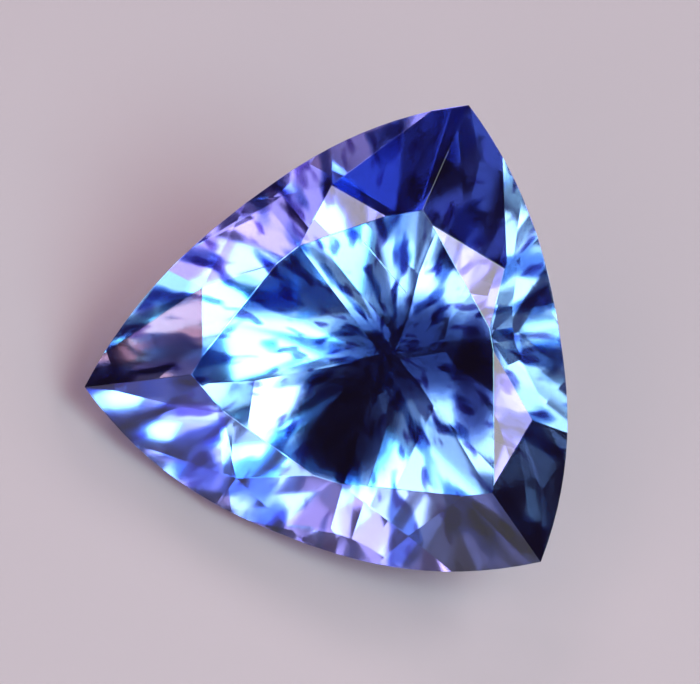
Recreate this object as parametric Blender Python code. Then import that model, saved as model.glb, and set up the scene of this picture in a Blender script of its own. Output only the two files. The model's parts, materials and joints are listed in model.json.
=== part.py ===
"""A tanzanite cut as a triangle with curved sides, lying on one of its lower facets.

The stone is drawn in its own frame, in millimetres. The table faces +Z, the girdle's upper edge is at height
zero, and an azimuth runs counterclockwise from +X as seen from above the table. Each facet is a plane that
cuts an upright block. The finished stone is then turned onto the facet that it lies on, and made metres.
"""

import math
from typing import NamedTuple

import bmesh
import bpy
from mathutils import Matrix, Vector

MM = 0.001


class Corner(NamedTuple):
    """A corner of the girdle and the corner of the table inside it: azimuths, and reaches from the centre."""

    azimuth: float
    girdle: float
    table_azimuth: float
    table: float


class End(NamedTuple):
    """The upper facets at one end of a side.

    turn is the angle from the corner's azimuth to its corner facet's. corner_edge is the length of that
    facet's edge on the table, middle_edge half the length of the middle facet's, and star_height the height
    of the star facet's outer tip.
    """

    corner: str
    turn: float
    corner_edge: float
    middle_edge: float
    star_height: float


class Side(NamedTuple):
    """One side of the stone.

    table and girdle are how far its middle facet reaches at the table and at the girdle. bulge is how far
    the girdle stands past the straight line between its corners, and lean moves that towards the second.
    """

    azimuth: float
    table: float
    girdle: float
    bulge: float
    lean: float
    ends: tuple


class Tier(NamedTuple):
    """Lower facets, one at either hand of each side.

    turn is the angle from the side's azimuth. reach is where a facet leaves the main ones, as a share of the
    way from the culet to the girdle at that azimuth, or None where it only touches the girdle's lower edge.
    """

    turn: float
    slope: float
    reach: float | None


TABLE_HEIGHT = 1.08
CORNERS = {
    "top": Corner(azimuth=67.2, girdle=4.78, table_azimuth=67.9, table=2.73),
    "left": Corner(azimuth=186.7, girdle=4.98, table_azimuth=186.8, table=3.05),
    "right": Corner(azimuth=310.4, girdle=4.83, table_azimuth=312.8, table=3.32),
}
SIDES = (
    Side(128.0, table=2.20, girdle=3.43, bulge=0.93, lean=-0.08, ends=(
        End("top", turn=32.0, corner_edge=0.65, middle_edge=0.27, star_height=0.64),
        End("left", turn=36.5, corner_edge=0.39, middle_edge=0.22, star_height=0.66),
    )),
    Side(253.0, table=2.30, girdle=3.49, bulge=1.19, lean=0.0, ends=(
        End("left", turn=34.0, corner_edge=0.85, middle_edge=0.22, star_height=0.67),
        End("right", turn=34.0, corner_edge=0.50, middle_edge=0.25, star_height=0.59),
    )),
    Side(9.5, table=2.27, girdle=3.44, bulge=0.955, lean=-0.05, ends=(
        End("right", turn=38.0, corner_edge=0.14, middle_edge=0.18, star_height=0.65),
        End("top", turn=34.0, corner_edge=0.32, middle_edge=0.02, star_height=0.66),
    )),
)
SIDE_FULLNESS = 2.4  # power of a side's curve: 2 is a parabola, and more is flatter in the middle
SIDE_STEPS = 28
UPPER_SPLIT = 0.5  # where two upper girdle facets part, between the corner facet's end and the middle one's

GIRDLE_THICKNESS = 0.13
CULET = (0.54, -0.02)  # where the lower facets meet, seen from above
MAIN_TURN = 14.5
MAIN_SLOPE = 40.75
LOWER_TIERS = (
    Tier(turn=2.0, slope=39.75, reach=0.36),
    Tier(turn=24.0, slope=43.25, reach=0.34),
    Tier(turn=37.0, slope=41.25, reach=0.74),
    Tier(turn=33.5, slope=50.25, reach=0.34),
    Tier(turn=9.0, slope=44.25, reach=0.85),
    Tier(turn=25.5, slope=54.25, reach=0.91),
    Tier(turn=0.0, slope=54.0, reach=None),
)
RESTING_SIDE = 1
RESTING_HAND = -1  # the main facet at the first end of that side

SEARCH_STEPS = 60
CUT_TOLERANCE = 1e-5
STONE_COLOUR = (0.10, 0.12, 0.55)


def direction(azimuth):
    angle = math.radians(azimuth)
    return Vector((math.cos(angle), math.sin(angle)))


def at_height(point, height):
    return Vector((point.x, point.y, height))


def girdle_point(side, place):
    """The outline's point on a side, from -1 at its first corner to 1 at its second."""
    first, second = (CORNERS[end.corner] for end in side.ends)
    start = direction(first.azimuth) * first.girdle
    finish = direction(second.azimuth) * second.girdle
    along = finish - start
    outward = Vector((along.y, -along.x)).normalized()
    if outward.dot(start + finish) < 0:
        outward.negate()
    stand = side.bulge * (1 - abs(place) ** SIDE_FULLNESS) * (1 + side.lean * place)
    return (start + finish) / 2 + along * place / 2 + outward * stand


def outline():
    return [
        girdle_point(side, 2 * step / SIDE_STEPS - 1)
        for side in SIDES
        for step in range(SIDE_STEPS)
    ]


def place_where(side, value, start, finish):
    """The first place on a side, going from start to finish, where value changes sign."""
    before = start
    for step in range(1, SEARCH_STEPS + 1):
        after = start + (finish - start) * step / SEARCH_STEPS
        if value(girdle_point(side, before)) * value(girdle_point(side, after)) <= 0:
            break
        before = after
    for _ in range(SEARCH_STEPS):
        middle = (before + after) / 2
        if value(girdle_point(side, before)) * value(girdle_point(side, middle)) <= 0:
            after = middle
        else:
            before = middle
    return after


def plane_through(a, b, c, up):
    """(point, normal) of the plane through three points, its normal to the side that up gives."""
    normal = (b - a).cross(c - a).normalized()
    return a, normal if normal.z * up > 0 else -normal


def height_of(plane, place):
    """The height of a plane above a place."""
    point, normal = plane
    return (normal.dot(point) - normal.xy.dot(place)) / normal.z


def meet(first, second, height):
    """The point at a height on the line where two planes cross."""
    rows = Matrix((first[1], second[1], (0, 0, 1)))
    return rows.inverted() @ Vector((first[1].dot(first[0]), second[1].dot(second[0]), height))


def upper_facets():
    """The planes above the girdle, the table first."""
    planes = [(Vector((0, 0, TABLE_HEIGHT)), Vector((0, 0, 1)))]
    for side in SIDES:
        out = direction(side.azimuth)
        along = Vector((-out.y, out.x))
        edge = at_height(out * side.table, TABLE_HEIGHT)
        middle = plane_through(edge, edge + along.to_3d(), at_height(out * side.girdle, 0), up=1)
        planes.append(middle)
        middle_place = place_where(side, along.dot, -1, 1)
        tip = girdle_point(side, middle_place)
        tip = at_height(tip, height_of(middle, tip))
        for end, hand in zip(side.ends, (1, -1)):
            corner = CORNERS[end.corner]
            table_corner = at_height(direction(corner.table_azimuth) * corner.table, TABLE_HEIGHT)
            turned = direction(corner.azimuth + hand * end.turn)
            away = Vector((-turned.y, turned.x, 0)) * hand
            girdle_corner = at_height(direction(corner.azimuth) * corner.girdle, 0)
            facet = plane_through(table_corner, table_corner + away, girdle_corner, up=1)
            star_tip = meet(facet, middle, end.star_height)
            star_start = table_corner + away * end.corner_edge
            star_finish = edge - along.to_3d() * hand * end.middle_edge
            near = -hand * 0.97
            facet_place = place_where(
                side, lambda point: facet[1].xy.dot(point) - facet[1].dot(facet[0]), near, middle_place
            )
            split_place = facet_place + (middle_place - facet_place) * UPPER_SPLIT
            facet_end = at_height(girdle_point(side, facet_place), 0)
            split = at_height(girdle_point(side, split_place), 0)
            planes += [
                facet,
                plane_through(star_start, star_finish, star_tip, up=1),
                plane_through(star_tip, facet_end, split, up=1),
                plane_through(star_tip, split, tip, up=1),
            ]
    return planes


def lower_normal(azimuth, slope):
    out = direction(azimuth) * math.sin(math.radians(slope))
    return Vector((out.x, out.y, -math.cos(math.radians(slope))))


def lower_facets(rim):
    """The planes below the girdle, and the one that the stone rests on."""
    culet = Vector(CULET)
    turns = [side.azimuth + hand * MAIN_TURN for side in SIDES for hand in (-1, 1)]
    reach = max(direction(turn).dot(point - culet) for turn in turns for point in rim)
    depth = GIRDLE_THICKNESS + reach * math.tan(math.radians(MAIN_SLOPE))
    bottom = at_height(culet, -depth)
    mains = [(bottom, lower_normal(turn, MAIN_SLOPE)) for turn in turns]
    planes = list(mains)
    for tier in LOWER_TIERS:
        for side in SIDES:
            for hand in (-1, 1):
                normal = lower_normal(side.azimuth + hand * tier.turn, tier.slope)
                touch = max(rim, key=normal.xy.dot)
                starts = [at_height(touch, -GIRDLE_THICKNESS)]
                if tier.reach:
                    wall = max(rim, key=lambda point: normal.xy.dot(point.normalized()))
                    place = culet + (wall - culet) * tier.reach
                    starts.append(at_height(place, max(height_of(main, place) for main in mains)))
                planes.append((max(starts, key=normal.dot), normal))
    return planes, mains[2 * RESTING_SIDE + (RESTING_HAND > 0)]


def cut(shape, point, normal):
    """Takes off what stands past a plane and closes the cut with one facet."""
    if all(normal.dot(vertex.co - point) < CUT_TOLERANCE for vertex in shape.verts):
        return
    whole = shape.verts[:] + shape.edges[:] + shape.faces[:]
    result = bmesh.ops.bisect_plane(
        shape, geom=whole, dist=CUT_TOLERANCE, plane_co=point, plane_no=normal, clear_outer=True
    )
    rim = [item for item in result["geom_cut"] if isinstance(item, bmesh.types.BMEdge)]
    bmesh.ops.edgeloop_fill(shape, edges=rim)


def block(rim):
    """An upright block with the girdle's outline, tall enough for every facet."""
    shape = bmesh.new()
    bmesh.ops.create_circle(shape, cap_ends=True, segments=len(rim), radius=1)
    shape.verts.ensure_lookup_table()
    for vertex, point in zip(shape.verts, rim):
        vertex.co = at_height(point, -2 * TABLE_HEIGHT - max(p.length for p in rim))
    grown = bmesh.ops.extrude_face_region(shape, geom=shape.faces[:])
    tops = [item for item in grown["geom"] if isinstance(item, bmesh.types.BMVert)]
    bmesh.ops.translate(shape, verts=tops, vec=(0, 0, 4 * TABLE_HEIGHT + max(p.length for p in rim)))
    bmesh.ops.recalc_face_normals(shape, faces=shape.faces[:])
    return shape


def lie_down(shape, resting):
    """Turns the stone onto its resting facet, table towards -Y, and puts the origin under its middle."""
    normal = resting[1]
    facing = Matrix.Rotation(math.radians(-90) - math.atan2(normal.y, normal.x), 4, "Z")
    tilt = Matrix.Rotation(math.acos(-normal.z), 4, "X")
    bmesh.ops.transform(shape, matrix=tilt @ facing, verts=shape.verts[:])
    low = [min(vertex.co[axis] for vertex in shape.verts) for axis in range(3)]
    high = [max(vertex.co[axis] for vertex in shape.verts) for axis in range(3)]
    middle = Vector(((low[0] + high[0]) / 2, (low[1] + high[1]) / 2, low[2]))
    bmesh.ops.translate(shape, verts=shape.verts[:], vec=-middle)
    bmesh.ops.scale(shape, verts=shape.verts[:], vec=(MM, MM, MM))


def stone_material():
    material = bpy.data.materials.new("tanzanite")
    material.use_nodes = True
    shader = material.node_tree.nodes["Principled BSDF"]
    shader.inputs["Base Color"].default_value = (*STONE_COLOUR, 1)
    shader.inputs["Roughness"].default_value = 0.02
    shader.inputs["Metallic"].default_value = 0.0
    shader.inputs["IOR"].default_value = 1.69
    shader.inputs["Transmission Weight"].default_value = 1.0
    return material


def make_stone():
    rim = outline()
    shape = block(rim)
    lower, resting = lower_facets(rim)
    for point, normal in upper_facets() + lower:
        cut(shape, point, normal)
    lie_down(shape, resting)
    mesh = bpy.data.meshes.new("tanzanite")
    shape.to_mesh(mesh)
    shape.free()
    mesh.materials.append(stone_material())
    return bpy.data.objects.new("tanzanite", mesh)


def main():
    for old in list(bpy.data.objects):
        bpy.data.objects.remove(old)
    collection = bpy.data.collections.new("cut tanzanite")
    bpy.context.scene.collection.children.link(collection)
    collection.objects.link(make_stone())


main()
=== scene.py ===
"""A cut tanzanite lying on one of its lower facets on a pale floor, seen face on under studio lights.

The stone's own directions are right, up and out: out is the way that its table faces, and right and up
are the picture's. Places on the stone are in millimetres from its middle at the girdle's upper edge.
"""

import json
import math

import bmesh
import bpy
from mathutils import Matrix, Vector

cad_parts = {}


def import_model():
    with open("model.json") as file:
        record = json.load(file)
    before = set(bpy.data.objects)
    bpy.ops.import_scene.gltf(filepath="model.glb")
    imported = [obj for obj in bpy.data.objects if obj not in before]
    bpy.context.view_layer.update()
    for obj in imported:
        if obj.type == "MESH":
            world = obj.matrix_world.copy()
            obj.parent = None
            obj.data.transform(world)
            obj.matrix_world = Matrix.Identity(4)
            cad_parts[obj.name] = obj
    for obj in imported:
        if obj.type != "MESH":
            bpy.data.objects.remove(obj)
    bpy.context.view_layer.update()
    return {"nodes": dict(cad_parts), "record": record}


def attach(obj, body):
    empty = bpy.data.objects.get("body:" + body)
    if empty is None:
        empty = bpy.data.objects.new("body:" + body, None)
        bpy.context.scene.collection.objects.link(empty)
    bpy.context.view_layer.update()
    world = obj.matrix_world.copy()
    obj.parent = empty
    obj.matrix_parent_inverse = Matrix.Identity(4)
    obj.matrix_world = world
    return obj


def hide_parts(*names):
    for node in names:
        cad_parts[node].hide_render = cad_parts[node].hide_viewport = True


MM = 0.001

PICTURE_WIDTH_MM = 12.39  # what the picture's width spans at the stone
CAMERA_DISTANCE = 0.14
SENSOR_MM = 36.0
TABLE_MIDDLE = Vector((0.018, -0.150, 1.08))
PICTURE_MIDDLE = Vector((-0.248, 0.212, 0.0))
VIEW_TURN = 31.5  # how far the stone's up is turned from the way that it leans, in degrees

FLOOR_SIZE = 1.6
FLOOR_COLOUR = (0.38, 0.23, 0.245)
FLOOR_ROUGHNESS = 0.6
ROOM_COLOUR = (0.13, 0.085, 0.24)
ROOM_STRENGTH = 0.6
LIGHT_BOUNCES = 32
AIR_GAP = 0.02 * MM  # under the resting facet, so that it mirrors as the others do

LIGHT_DISTANCE = 0.30
LIGHTS = (
    # name, degrees off the table's axis, azimuth, radius in degrees, radiance, colour
    ("right", 41, 6, 18, 11.0, (0.42, 0.97, 0.97)),
    ("right, high", 50, 40, 12, 3.0, (0.88, 1.0, 1.0)),
    ("low right", 76, 18, 7, 4.5, (0.85, 0.95, 1.0)),
    ("low right, high", 78, 40, 12, 7.5, (0.85, 1.0, 1.0)),
    ("near top right", 22, 40, 12, 2.5, (0.8, 0.95, 1.0)),
    ("near right", 22, -32, 12, 4.5, (0.8, 1.0, 0.95)),
    ("near bottom left", 22, -140, 12, 4.5, (0.9, 1.0, 1.0)),
    ("near top left", 22, 148, 12, 2.5, (0.9, 1.0, 1.0)),
    ("top left", 36, 132, 7, 4.5, (0.95, 1.0, 1.0)),
    ("left", 41, -174, 18, 2.5, (0.9, 0.95, 1.0)),
    ("bottom", 50, -86, 12, 4.5, (0.85, 1.0, 1.0)),
    ("bottom left", 46, -108, 7, 2.5, (0.9, 1.0, 1.0)),
    ("low top", 78, 96, 9, 7.5, (0.9, 0.95, 1.0)),
    ("sheen, top right", 57, 29, 5, 5.0, (1.0, 0.92, 1.0)),
    ("sheen, right", 64, 0, 5, 5.0, (1.0, 0.95, 0.95)),
    ("sheen, top", 56, 109, 5, 5.0, (1.0, 0.92, 1.0)),
)

REFRACTIVE_INDEX = 1.694
BODY_TINT = (0.95, 0.95, 1.0)
ABSORPTION_COLOUR = (0.14, 0.52, 0.87)
ABSORPTION_DENSITY = 150.0
UPPER_ROUGHNESS = 0.01
LOWER_ROUGHNESS = 0.075
GIRDLE_THICKNESS = 0.13
JOIN_DISTANCE = 0.001 * MM  # corners of the solid's triangles closer than this are one
FLAT_ANGLE = math.radians(0.2)  # triangles that turn less than this are one facet
SLOPE_LIMIT = 0.1  # how far a facet's normal leans out or back before it counts as upper or lower
TABLE_LIMIT = 0.99  # how far the table's alone does
EDGE_WIDTH = 0.012 * MM  # of the narrow face along an upper facet's edge
EDGE_LENGTH = 0.25 * MM  # shorter edges stay sharp

TABLE_TINT = (0.88, 0.93, 1.0)
CROWN_TINT = (0.45, 0.125, 0.44)
LOWER_TINT = (0.36, 0.32, 0.80)
# Per-facet tints, partly hue and partly painted light: the dark ones on the left, top and right corners
# paint shade, and the pale ones on the stars and the right rim paint highlights; the rest are hue.
FACET_HUES_AND_PAINTED_LIGHT = (
    # name, a place inside the facet, tint
    ("left corner, upper", (-3.70, 0.11), (0.30, 0.035, 0.03)),
    ("left corner, lower", (-3.46, -1.16), (0.85, 0.32, 1.0)),
    ("top corner, left", (0.76, 3.39), (0.0015, 0.002, 0.07)),
    ("top corner, right", (1.91, 2.88), (0.002, 0.0015, 0.02)),
    ("upper left, middle", (-1.73, 2.12), (0.64, 0.13, 0.38)),
    ("upper left rim, right", (-1.18, 3.08), (0.64, 0.13, 0.38)),
    ("upper left rim, left", (-2.74, 1.86), (0.64, 0.13, 0.38)),
    ("lower, middle", (-0.70, -2.84), (0.62, 0.12, 0.34)),
    ("lower star, left", (-1.83, -1.76), (1.0, 0.70, 0.95)),
    ("lower star, right", (0.66, -2.61), (0.95, 0.42, 0.70)),
    ("lower rim, left", (-1.88, -2.80), (0.62, 0.12, 0.34)),
    ("upper left star, left", (-2.36, 0.91), (0.75, 1.0, 1.0)),
    ("upper left rim, far left", (-3.74, 0.79), (0.40, 0.50, 0.60)),
    ("right, middle", (2.80, 0.29), (0.90, 1.0, 0.85)),
    ("right rim, lower", (3.29, -0.35), (0.90, 1.0, 0.85)),
    ("right rim, lowest", (3.37, -0.99), (0.90, 1.0, 0.85)),
    ("right rim, upper", (2.66, 2.46), (1.0, 1.0, 0.9)),
    ("right rim, middle", (3.11, 1.34), (1.0, 1.0, 0.9)),
    ("right corner, right", (3.01, -2.34), (0.003, 0.003, 0.006)),
    ("right corner, lower", (1.99, -3.24), (0.010, 0.004, 0.014)),
)
ZONE_DEPTH = 100.0  # half length of the painted shade ovals from the table down, so long that they reach right through
# Painted shade: near-black tints over soft ovals paint the dark heart of the stone's inner reflections.
PAINTED_SHADE_ZONES = (
    # name, middle, half lengths, turn in degrees, tint, softness
    ("heart", (0.78, 0.14), (1.20, 0.76), -8, (0.0008, 0.0015, 0.010), 0.45),
    ("heart, lower left", (-0.28, -1.25), (0.80, 0.95), 15, (0.0001, 0.0001, 0.0006), 0.4),
    ("heart, right", (1.98, -0.35), (0.38, 1.10), 0, (0.0010, 0.0010, 0.008), 0.45),
)
FADE_STEPS = 4  # stops of the ramp between no tint and the full one
HEART = (0.37, 0.16)
STREAK_DETAIL = 1.5
STREAK_STRETCH = 0.4  # the power of the distance from the heart that the streaks' noise follows
ZONE_WAVER = (0.8, 2.0, 0.3)  # noise scale, detail, and how far it moves the zones' edges in mm
STREAK_WAVER = (1.2, 1.0, 0.16)
# Painted shade: dark tints in the gaps between bright streak lines of inner reflection.
PAINTED_SHADE_STREAKS = (
    # name, noise scale, noise edges, tint of the gaps, which paints shade
    ("broad", 3.2, (0.38, 0.49), (0.012, 0.030, 0.14)),
    ("fine", 6.5, (0.32, 0.46), (0.040, 0.022, 0.13)),
)

HAIRLINE = ((-0.05, 2.02), (0.78, 1.03))  # the ends of a fine scratch in the table
HAIRLINE_WIDTH = 0.016
HAIRLINE_FADE = 0.1  # over what length it starts and ends
HAIRLINE_DEPTH = 0.08  # how far under the table the scratch's roughness has faded out
HAIRLINE_ROUGHNESS = 0.45


class View:
    """The stone's own directions and its middle."""

    def __init__(self, record):
        table = next(mount for mount in record["mounts"] if mount["name"] == "table")
        self.out = Vector(table["axis"]).normalized()
        level = Vector((0, 0, 1)).cross(self.out).normalized()
        turn = Matrix.Rotation(math.radians(VIEW_TURN), 3, self.out)
        self.right = turn @ level
        self.up = self.out.cross(self.right)
        self.turned = Matrix((self.right, self.up, self.out)).transposed()
        self.middle = Vector(table["pos_m"]) - self.turned @ TABLE_MIDDLE * MM

    def placing(self):
        return Matrix.Translation(self.middle) @ self.turned.to_4x4()

    def direction(self, off_axis, azimuth):
        """A direction so many degrees off the table's axis, towards an azimuth from right to up."""
        lean, around = math.radians(off_axis), math.radians(azimuth)
        across = self.right * math.cos(around) + self.up * math.sin(around)
        return self.out * math.cos(lean) + across * math.sin(lean)


class Nodes:
    """Adds nodes to a material's tree."""

    def __init__(self, name):
        self.material = bpy.data.materials.new(name)
        self.material.use_nodes = True
        self.tree = self.material.node_tree
        self.shader = self.tree.nodes["Principled BSDF"]

    def add(self, kind, *inputs, **settings):
        """A node of a kind. An input is a number, a vector, an output to link, or None to leave as is."""
        node = self.tree.nodes.new("ShaderNode" + kind)
        for name, value in settings.items():
            setattr(node, name, value)
        for socket, value in zip(node.inputs, inputs):
            self.put(socket, value)
        return node

    def put(self, socket, value):
        if isinstance(value, bpy.types.NodeSocket):
            self.tree.links.new(value, socket)
        elif value is not None:
            socket.default_value = value

    def math(self, operation, *inputs):
        return self.add("Math", *inputs, operation=operation).outputs[0]

    def vector(self, operation, *inputs):
        node = self.add("VectorMath", *inputs, operation=operation)
        return node.outputs["Value" if operation in ("LENGTH", "DOT_PRODUCT") else "Vector"]

    def ramp(self, value, low, high, at_low, at_high):
        node = self.add("MapRange", value, low, high, at_low, at_high, interpolation_type="SMOOTHSTEP")
        return node.outputs["Result"]

    def fade(self, share, colour, tint):
        """A colour multiplied by a tint's power, which keeps half tints as deep in hue as the full one."""
        node = self.add("ValToRGB", share)
        for step in range(1, FADE_STEPS):
            node.color_ramp.elements.new(step / FADE_STEPS)
        for element in node.color_ramp.elements:
            element.color = (*(channel ** element.position for channel in tint), 1)
        return self.tint(1.0, colour, node.outputs["Color"])

    def tint(self, share, colour, tint):
        """A colour multiplied by a tint, by the share that is given."""
        node = self.tree.nodes.new("ShaderNodeMix")
        node.data_type = "RGBA"
        node.blend_type = "MULTIPLY"
        self.put(node.inputs["Factor"], share)
        first, second = (socket for socket in node.inputs if socket.type == "RGBA")
        self.put(first, colour)
        self.put(second, tint)
        return next(socket for socket in node.outputs if socket.type == "RGBA")

    def wavered(self, place, scale, detail, reach):
        """A place moved by noise, up to about the reach."""
        noise = self.add("TexNoise", place, None, scale, detail)
        shift = self.vector("SUBTRACT", noise.outputs["Color"], (0.5, 0.5, 0.5))
        return self.vector("ADD", place, self.vector("MULTIPLY", shift, (2 * reach,) * 3))


def paint_shade_zones(nodes, place, colour):
    """Paints shade over soft ovals, whose edges a noise moves: the dark heart of the stone's inner
    reflections.
    """
    moved = nodes.wavered(place, *ZONE_WAVER)
    for name, middle, half, turn, tint, softness in PAINTED_SHADE_ZONES:
        mapping = nodes.add(
            "Mapping", moved, (*middle, 0), (0, 0, math.radians(turn)), (*half, ZONE_DEPTH),
            vector_type="TEXTURE"
        )
        mapping.label = name
        far = nodes.vector("LENGTH", mapping.outputs[0])
        share = nodes.ramp(far, 1 - softness, 1 + softness, 1.0, 0.0)
        colour = nodes.fade(share, colour, tint)
    return colour


def paint_shade_between_streaks(nodes, place, colour):
    """Paints shade into the gaps between bright streak lines of inner reflection, which run out from the
    stone's heart.
    """
    across = nodes.vector("SUBTRACT", nodes.wavered(place, *STREAK_WAVER), (*HEART, 0))
    across = nodes.vector("MULTIPLY", across, (1, 1, 0))
    reach = nodes.math("POWER", nodes.vector("LENGTH", across), STREAK_STRETCH)
    squeezed = nodes.add("VectorMath", nodes.vector("NORMALIZE", across), operation="SCALE")
    nodes.put(squeezed.inputs["Scale"], reach)
    for name, scale, edges, tint in PAINTED_SHADE_STREAKS:
        noise = nodes.add("TexNoise", squeezed.outputs[0], None, scale, STREAK_DETAIL)
        noise.label = name
        share = nodes.ramp(noise.outputs[0], *edges, 1.0, 0.0)
        colour = nodes.fade(share, colour, tint)
    return colour


def hairline(nodes, place, height):
    """The share of the fine scratch: 1 on it, 0 elsewhere."""
    start, end = (Vector(point) for point in HAIRLINE)
    along = (end - start).normalized()
    length = (end - start).length
    offset = nodes.vector("SUBTRACT", place, (*start, 0))
    far = nodes.vector("DOT_PRODUCT", offset, (*along, 0))
    aside = nodes.math("ABSOLUTE", nodes.vector("DOT_PRODUCT", offset, (along.y, -along.x, 0)))
    share = nodes.ramp(aside, 0, HAIRLINE_WIDTH, 1.0, 0.0)
    for limit in (
        nodes.ramp(far, 0, HAIRLINE_FADE, 0.0, 1.0),
        nodes.ramp(far, length - HAIRLINE_FADE, length, 1.0, 0.0),
        nodes.ramp(height, TABLE_MIDDLE.z - HAIRLINE_DEPTH, TABLE_MIDDLE.z, 0.0, 1.0),
    ):
        share = nodes.math("MULTIPLY", share, limit)
    return share


def stone_material(placing):
    """Clear stone. The tints act where light enters, and the painted shade of the dark ovals and streak
    gaps only on the upper side.
    """
    nodes = Nodes("tanzanite")
    place = nodes.add(
        "Mapping", nodes.add("TexCoord").outputs["Object"], placing.translation, placing.to_euler(),
        (MM, MM, MM), vector_type="TEXTURE"
    ).outputs[0]
    outside = nodes.math("SUBTRACT", 1.0, nodes.add("NewGeometry").outputs["Backfacing"])
    # The facet tints hold hue, painted shade and painted highlights, and act where light enters.
    facet = nodes.add("Attribute", attribute_name="facet_hue_and_painted_light")
    colour = nodes.tint(outside, (*BODY_TINT, 1), facet.outputs["Color"])
    height = nodes.add("SeparateXYZ", place).outputs["Z"]
    # Painted shade of the dark ovals and streak gaps, on the upper side only.
    above = nodes.math("MULTIPLY", outside, nodes.ramp(height, -GIRDLE_THICKNESS, 0.0, 0.0, 1.0))
    colour = nodes.tint(above, colour, paint_shade_zones(nodes, place, paint_shade_between_streaks(nodes, place, (1, 1, 1, 1))))
    nodes.put(nodes.shader.inputs["Base Color"], colour)
    rough = nodes.add("Attribute", attribute_name="facet_roughness")
    scratch = nodes.math("MULTIPLY", hairline(nodes, place, height), HAIRLINE_ROUGHNESS)
    nodes.put(nodes.shader.inputs["Roughness"], nodes.math("ADD", rough.outputs["Fac"], scratch))
    nodes.shader.inputs["IOR"].default_value = REFRACTIVE_INDEX
    nodes.shader.inputs["Transmission Weight"].default_value = 1.0
    absorption = nodes.add("VolumeAbsorption", (*ABSORPTION_COLOUR, 1), ABSORPTION_DENSITY)
    nodes.put(nodes.tree.nodes["Material Output"].inputs["Volume"], absorption.outputs[0])
    return nodes.material


def facet_at(shape, place):
    """The upper facet whose middle is nearest to a place."""
    def distance(face):
        return (face.calc_center_median_weighted().xy - Vector(place) * MM).length
    return min((face for face in shape.faces if face.normal.z > SLOPE_LIMIT), key=distance)


def wear_edges(shape):
    """Gives the upper facets' edges a narrow face, which catches a thin line of light."""
    edges = [
        edge for edge in shape.edges
        if edge.calc_length() > EDGE_LENGTH
        and all(face.normal.z > SLOPE_LIMIT for face in edge.link_faces)
    ]
    bmesh.ops.bevel(
        shape, geom=edges, offset=EDGE_WIDTH, offset_type="WIDTH", segments=1, affect="EDGES",
        clamp_overlap=False
    )


def tint_facets_and_paint_light(shape):
    tint = shape.faces.layers.float_color.new("facet_hue_and_painted_light")
    for face in shape.faces:
        if face.normal.z < -SLOPE_LIMIT:
            colour = LOWER_TINT
        elif face.normal.z < TABLE_LIMIT:
            colour = CROWN_TINT
        else:
            colour = TABLE_TINT
        face[tint] = (*colour, 1)
    # The listed facets get their own tints, which paint shade on the dark ones and highlights on the pale
    # ones.
    for _, place, colour in FACET_HUES_AND_PAINTED_LIGHT:
        facet_at(shape, place)[tint] = (*colour, 1)


def make_stone(node, placing):
    """The solid's own shape with its facets tinted, partly with painted shade and highlights, and its
    upper edges worn.
    """
    shape = bmesh.new()
    shape.from_mesh(node.data)
    shape.transform(placing.inverted())
    bmesh.ops.remove_doubles(shape, verts=shape.verts[:], dist=JOIN_DISTANCE)
    bmesh.ops.dissolve_limit(
        shape, angle_limit=FLAT_ANGLE, verts=shape.verts[:], edges=shape.edges[:]
    )
    tint_facets_and_paint_light(shape)
    wear_edges(shape)
    rough = shape.faces.layers.float.new("facet_roughness")
    for face in shape.faces:
        face.smooth = False
        face[rough] = UPPER_ROUGHNESS if face.normal.z > 0 else LOWER_ROUGHNESS
    shape.transform(placing)
    mesh = bpy.data.meshes.new("cut_stone")
    shape.to_mesh(mesh)
    shape.free()
    mesh.materials.append(stone_material(placing))
    stone = bpy.data.objects.new("cut_stone", mesh)
    bpy.context.scene.collection.objects.link(stone)
    return stone


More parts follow.
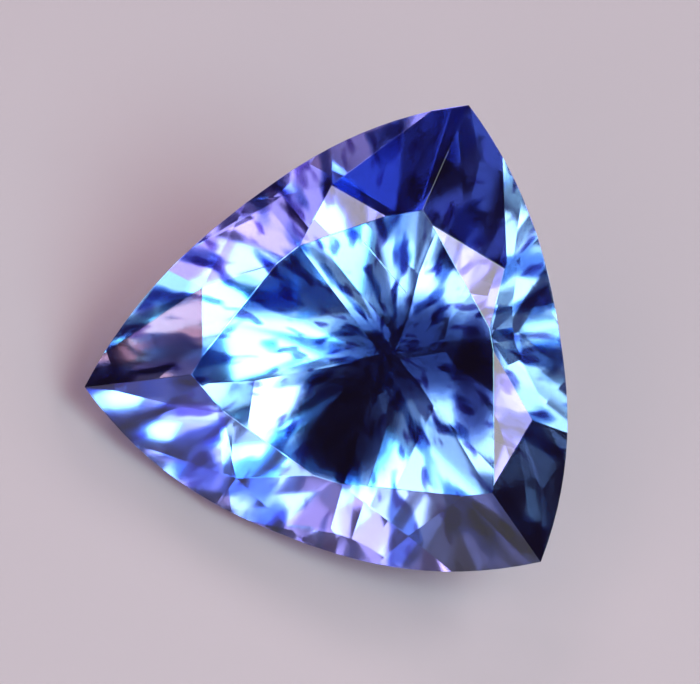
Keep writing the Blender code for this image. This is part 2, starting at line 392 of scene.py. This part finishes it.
def make_floor():
    bpy.ops.mesh.primitive_plane_add(size=FLOOR_SIZE, location=(0, 0, -AIR_GAP))
    floor = bpy.context.object
    floor.name = "floor"
    nodes = Nodes("floor")
    nodes.shader.inputs["Base Color"].default_value = (*FLOOR_COLOUR, 1)
    nodes.shader.inputs["Roughness"].default_value = FLOOR_ROUGHNESS
    floor.data.materials.append(nodes.material)
    return floor


def aim(item, towards, up):
    """Points an object's -Z at a place, with its Y along up."""
    back = (item.location - towards).normalized()
    right = up.cross(back).normalized()
    turned = Matrix((right, back.cross(right), back)).transposed()
    item.rotation_euler = turned.to_euler()


def make_light(view, name, off_axis, azimuth, radius, radiance, colour):
    data = bpy.data.lights.new(name, "AREA")
    data.shape = "DISK"
    reach = LIGHT_DISTANCE * math.tan(math.radians(radius))
    data.size = 2 * reach
    data.energy = radiance * math.pi * math.pi * reach * reach
    data.color = colour
    light = bpy.data.objects.new(name, data)
    light.location = view.middle + view.direction(off_axis, azimuth) * LIGHT_DISTANCE
    light.visible_camera = False
    aim(light, view.middle, Vector((0, 0, 1)))
    bpy.context.scene.collection.objects.link(light)


def make_camera(view):
    data = bpy.data.cameras.new("camera")
    data.sensor_width = SENSOR_MM
    data.lens = SENSOR_MM * CAMERA_DISTANCE / (PICTURE_WIDTH_MM * MM)
    data.clip_start = 0.01
    camera = bpy.data.objects.new("camera", data)
    middle = view.middle + view.turned @ PICTURE_MIDDLE * MM
    camera.location = middle + view.out * CAMERA_DISTANCE
    aim(camera, middle, view.up)
    bpy.context.scene.collection.objects.link(camera)
    bpy.context.scene.camera = camera


def set_world():
    world = bpy.data.worlds.new("studio")
    world.use_nodes = True
    background = world.node_tree.nodes["Background"]
    background.inputs["Color"].default_value = (*ROOM_COLOUR, 1)
    background.inputs["Strength"].default_value = ROOM_STRENGTH
    bpy.context.scene.world = world


def main():
    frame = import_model()
    view = View(frame["record"])
    stone = make_stone(frame["nodes"]["tanzanite"], view.placing())
    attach(stone, "root")
    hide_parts("tanzanite")
    make_floor()
    for light in LIGHTS:
        make_light(view, *light)
    make_camera(view)
    set_world()
    scene = bpy.context.scene
    scene.view_settings.view_transform = "Standard"
    scene.cycles.max_bounces = LIGHT_BOUNCES
    scene.cycles.transmission_bounces = LIGHT_BOUNCES
    scene.cycles.glossy_bounces = LIGHT_BOUNCES


main()
